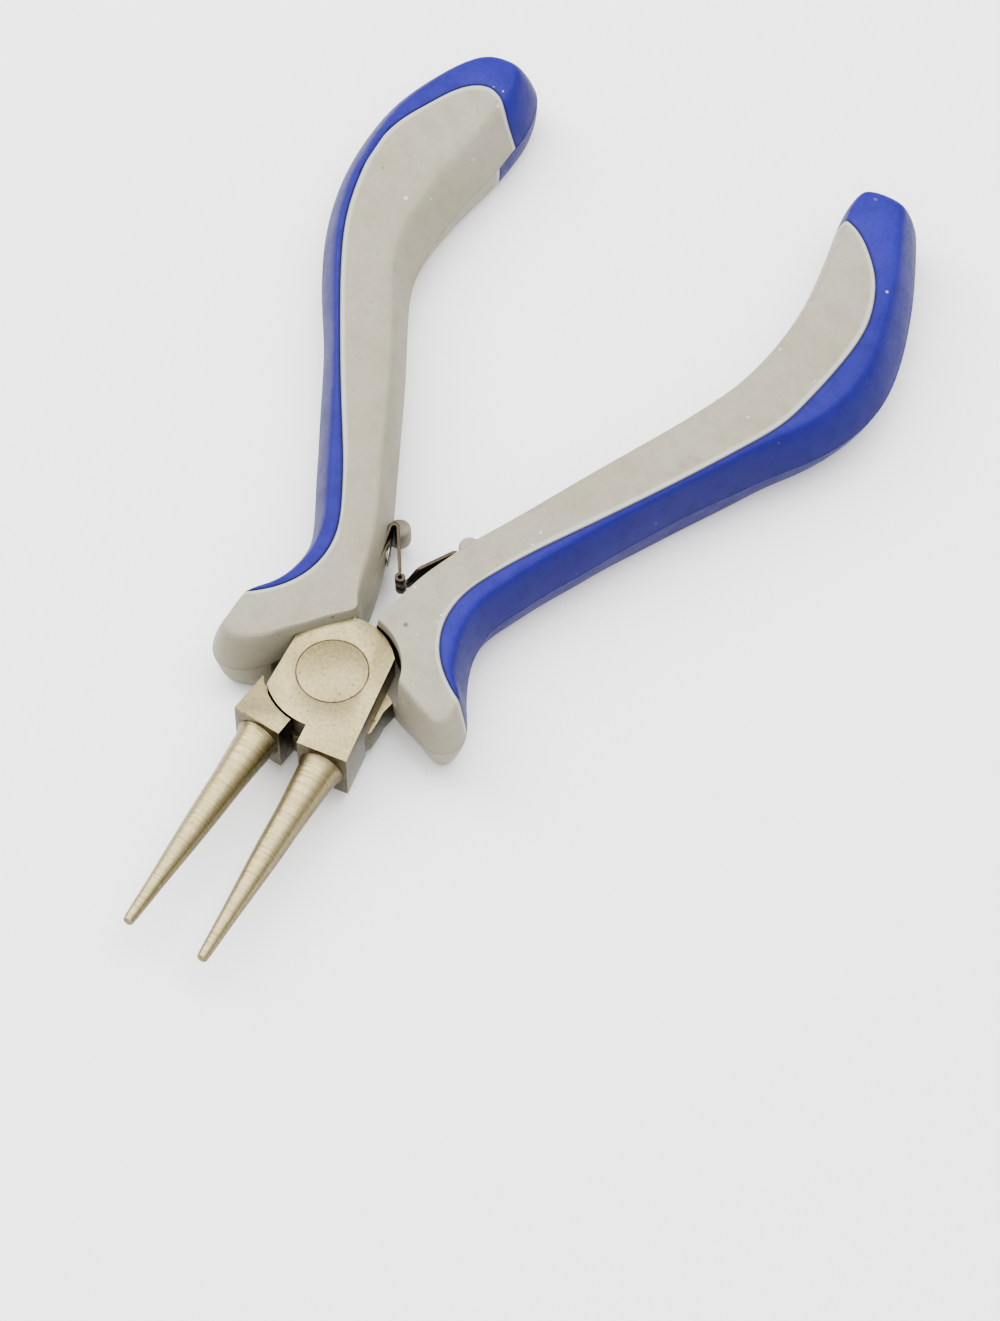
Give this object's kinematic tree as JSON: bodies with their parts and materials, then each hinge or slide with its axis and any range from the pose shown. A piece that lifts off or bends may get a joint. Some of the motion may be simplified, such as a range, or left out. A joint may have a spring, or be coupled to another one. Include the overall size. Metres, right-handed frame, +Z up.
{
  "type": "round nose pliers",
  "caption": "Small round nose pliers for bending wire into loops: nickel-plated lap-joint steel halves, two-colour moulded grips with thumb guards and a double leaf return spring.",
  "frame": {"origin": "middle of the footprint at rest, on the undersides of the grips", "axes": "+Z up along the pivot axis, +Y towards the handles, jaws towards -Y, +X to the right handle"},
  "size_m": [0.0722, 0.1276, 0.0102],
  "materials": {
    "nickel_steel": "warm nickel plate, satin ground faces",
    "rivet_steel": "ground flush with the plates",
    "grip_grey": "matte moulded soft plastic",
    "grip_blue": "satin moulded soft plastic",
    "spring_steel": "dark tempered strip"
  },
  "bodies": {
    "lower": {"lower_half": "nickel_steel", "pivot_rivet": "rivet_steel", "right_grip_grey": "grip_grey", "right_grip_blue": "grip_blue", "right_spring_leg": "spring_steel", "right_spring_rivet": "spring_steel"},
    "upper": {"upper_half": "nickel_steel", "left_grip_grey": "grip_grey", "left_grip_blue": "grip_blue", "left_spring_leg": "spring_steel", "left_spring_rivet": "spring_steel"},
    "left_arm": {"left_spring_arm": "spring_steel"},
    "right_arm": {"right_spring_arm": "spring_steel"}
  },
  "joints": [
    {"name": "pivot", "type": "hinge", "parent": "lower", "child": "upper", "pos_m": [-0.0009, -0.02669, 0.0051], "axis": [0, 0, 1], "range_deg": [-12.4, 4], "stiffness_Nm_per_rad": 0.4},
    {"name": "left_spring_flex", "type": "hinge", "parent": "upper", "child": "left_arm", "pos_m": [-0.00489, -0.00576, 0.0051], "axis": [0, 0, 1], "range_deg": [-17, 6]},
    {"name": "right_spring_flex", "type": "hinge", "parent": "lower", "child": "right_arm", "pos_m": [0.00309, -0.00576, 0.0051], "axis": [0, 0, 1], "range_deg": [-6, 17]}
  ],
  "couplings": [
    {"joint": "left_spring_flex", "follows": "pivot", "ratio": 1.3474},
    {"joint": "right_spring_flex", "follows": "pivot", "ratio": -1.3474}
  ]
}
